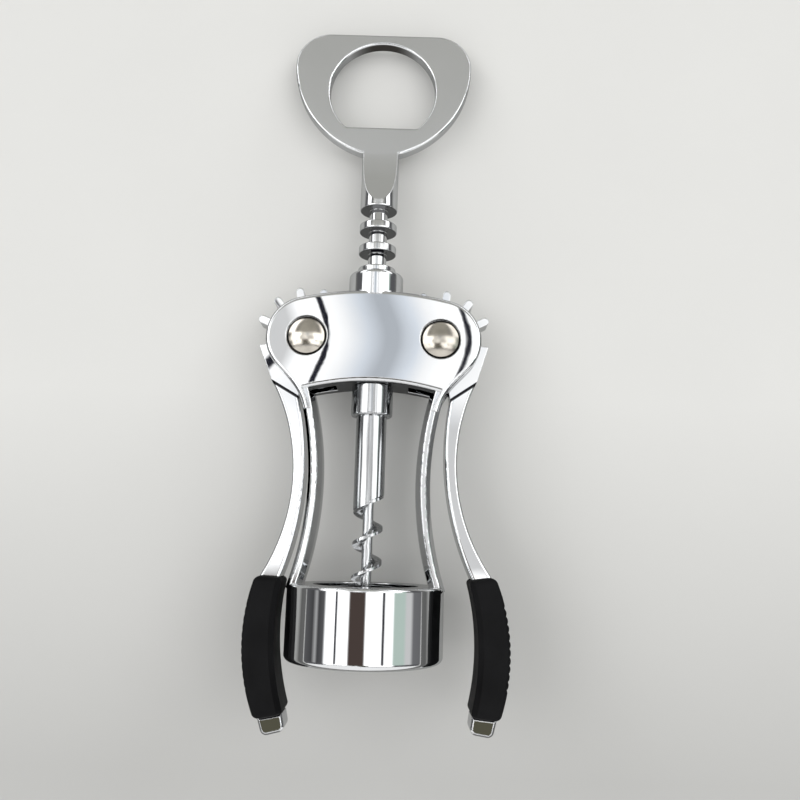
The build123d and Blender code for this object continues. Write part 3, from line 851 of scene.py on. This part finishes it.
def add_light():
    """Studio world: rings of soft panels round the screw, one after another along it."""
    settings = bpy.context.scene.corkscrew_stage
    world = bpy.data.worlds.new("soft_studio")
    world.use_nodes = True
    bpy.context.scene.world = world
    tree = world.node_tree
    tree.nodes.clear()
    place = tree.nodes.new("ShaderNodeTexCoord")
    way = shader_node(tree, "ShaderNodeSeparateXYZ", Vector=place.outputs["Generated"])
    angle = calculate(tree, "ARCTAN2", way.outputs["X"], way.outputs["Z"])
    reach = way.outputs["Y"]
    inner_edge, outer_edge = middle_edge
    aside = remap(
        tree, calculate(tree, "ABSOLUTE", angle), radians(inner_edge), radians(outer_edge), 0, 1
    )
    rings = tip_panels(tree, angle)
    for band, ring in (
        (bell_reach, bell_panels(tree, angle)),
        (arm_reach, arm_panels(tree, angle, aside)),
        (crown_reach, crown_panels(tree, angle, aside, reach)),
        (plate_reach, plate_panels(tree, angle)),
        (seam_reach, seam),
        (low_reach, low_light),
    ):
        rings = mix_colours(tree, remap(tree, reach, *band, 0, 1), rings, ring)
    studio = shader_node(tree, "ShaderNodeBackground", Color=rings, Strength=settings.light_level)
    backdrop = shader_node(tree, "ShaderNodeBackground", Color=backdrop_colour, Strength=1)
    rays = tree.nodes.new("ShaderNodeLightPath")
    below_horizon = remap(tree, way.outputs["Z"], *horizon, 1, 0)
    mirrored = calculate(tree, "MULTIPLY", rays.outputs["Is Glossy Ray"], below_horizon)
    seen = calculate(tree, "MAXIMUM", rays.outputs["Is Camera Ray"], mirrored)
    both = tree.nodes.new("ShaderNodeMixShader")
    tree.links.new(seen, both.inputs[0])
    tree.links.new(studio.outputs["Background"], both.inputs[1])
    tree.links.new(backdrop.outputs["Background"], both.inputs[2])
    out = tree.nodes.new("ShaderNodeOutputWorld")
    tree.links.new(both.outputs["Shader"], out.inputs["Surface"])


def add_camera():
    """Camera above the bell, leaning towards the handle."""
    settings = bpy.context.scene.corkscrew_stage
    lens = bpy.data.cameras.new("camera")
    lens.lens = settings.camera_lens
    lens.sensor_width = 36
    lens.clip_start = 0.005
    lens.clip_end = 20
    camera = bpy.data.objects.new("camera", lens)
    bpy.context.scene.collection.objects.link(camera)
    lean = Matrix.Rotation(settings.camera_tilt, 4, "X")
    roll = Matrix.Rotation(settings.camera_roll, 4, "Z")
    camera.matrix_world = Matrix.Translation(settings.camera_place) @ lean @ roll
    bpy.context.scene.camera = camera


class CORKSCREW_OT_stage(bpy.types.Operator):
    """Pale floor, soft studio light and the camera"""

    bl_idname = "corkscrew.stage"
    bl_label = "Stage"

    def execute(self, context):
        context.scene.view_settings.view_transform = "Standard"
        add_floor()
        add_light()
        add_camera()
        return {"FINISHED"}


class CORKSCREW_PT_panel(bpy.types.Panel):
    """Corkscrew tools in the sidebar"""

    bl_idname = "CORKSCREW_PT_panel"
    bl_label = "Lever corkscrew"
    bl_space_type = "VIEW_3D"
    bl_region_type = "UI"
    bl_category = "Corkscrew"

    def draw(self, context):
        scene = context.scene
        for settings in (scene.corkscrew_grips, scene.corkscrew_finishes, scene.corkscrew_stage):
            column = self.layout.column()
            for name in settings.__annotations__:
                column.prop(settings, name)
        for operator in operators:
            self.layout.operator(operator.bl_idname)


operators = (
    CORKSCREW_OT_castings,
    CORKSCREW_OT_screw,
    CORKSCREW_OT_rivets,
    CORKSCREW_OT_grips,
    CORKSCREW_OT_stage,
)
classes = (CorkscrewGrips, CorkscrewFinishes, CorkscrewStage, *operators, CORKSCREW_PT_panel)


def register():
    for entry in classes:
        bpy.utils.register_class(entry)
    bpy.types.Scene.corkscrew_grips = PointerProperty(type=CorkscrewGrips)
    bpy.types.Scene.corkscrew_finishes = PointerProperty(type=CorkscrewFinishes)
    bpy.types.Scene.corkscrew_stage = PointerProperty(type=CorkscrewStage)


def unregister():
    del bpy.types.Scene.corkscrew_stage
    del bpy.types.Scene.corkscrew_finishes
    del bpy.types.Scene.corkscrew_grips
    for entry in reversed(classes):
        bpy.utils.unregister_class(entry)


def main():
    register()
    bpy.ops.corkscrew.castings()
    bpy.ops.corkscrew.screw()
    bpy.ops.corkscrew.rivets()
    bpy.ops.corkscrew.grips()
    bpy.ops.corkscrew.stage()


if __name__ == "__main__":
    main()
